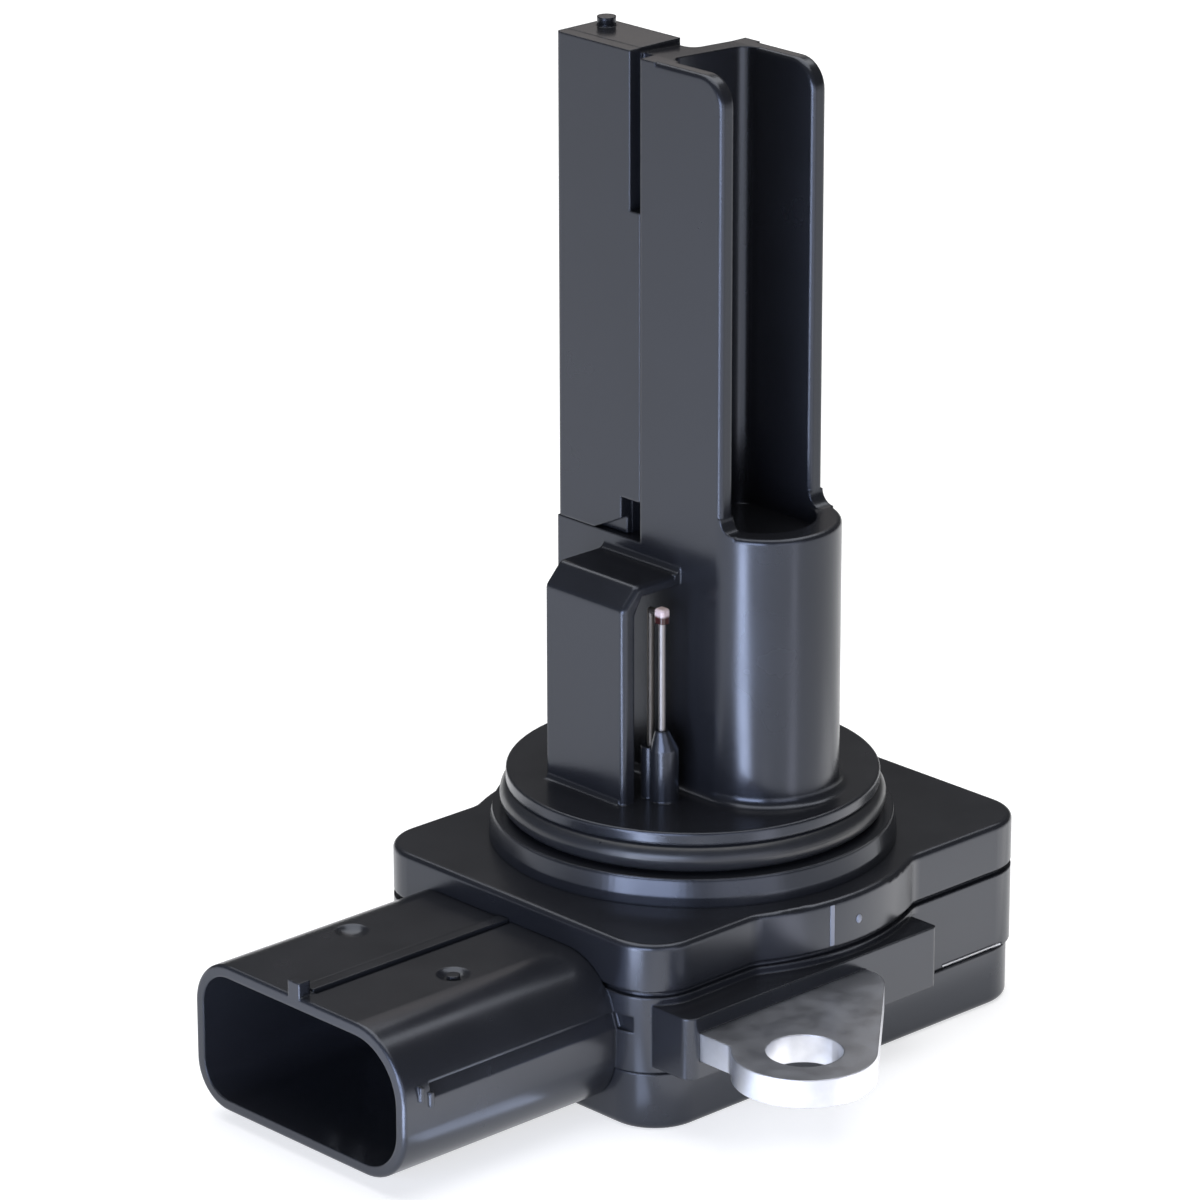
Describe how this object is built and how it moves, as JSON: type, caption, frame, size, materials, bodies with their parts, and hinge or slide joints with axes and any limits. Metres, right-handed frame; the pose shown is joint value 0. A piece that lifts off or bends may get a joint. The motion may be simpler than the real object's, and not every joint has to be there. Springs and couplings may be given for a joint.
{
  "type": "mass airflow sensor",
  "caption": "Plug-in hot-film airflow sensor: plastic probe with an open channel on a sealed round spigot, over an electronics housing with a side connector and steel ears.",
  "frame": {"origin": "axis of the round spigot, on the seating face of the flange plate", "axes": "+Z out along the probe, -X the way the connector points, -Y towards the mouth of the open channel"},
  "size_m": [0.0647, 0.0652, 0.081],
  "materials": {
    "body_plastic": "black glass-filled plastic, satin",
    "seal_rubber": "black fluorocarbon rubber, slightly shiny",
    "zinc_steel": "bright zinc-plated steel",
    "sealant": "dark silicone sealant",
    "board_laminate": "green laminate, semi-gloss",
    "chip_plastic": "moulded black resin",
    "ceramic_body": "plain ceramic",
    "bead_glaze": "glazed bead",
    "tinned_wire": "tinned wire",
    "tinned_brass": "tin-plated brass"
  },
  "bodies": {
    "root": {"duct_body": "body_plastic", "passage_cover": "body_plastic", "o_ring": "seal_rubber", "housing": "body_plastic", "bottom_cover": "body_plastic", "ear_front": "zinc_steel", "ear_rear": "zinc_steel", "upper_seal": "sealant", "lower_seal": "sealant", "circuit_board": "board_laminate", "control_chip": "chip_plastic", "regulator": "chip_plastic", "capacitor_a": "ceramic_body", "capacitor_b": "ceramic_body", "element_carrier": "board_laminate", "flow_element": "ceramic_body", "thermistor_bead": "bead_glaze", "thermistor_lead_a": "tinned_wire", "thermistor_lead_b": "tinned_wire", "terminal_1": "tinned_brass", "terminal_2": "tinned_brass", "terminal_3": "tinned_brass", "terminal_4": "tinned_brass", "terminal_5": "tinned_brass"}
  },
  "joints": []
}
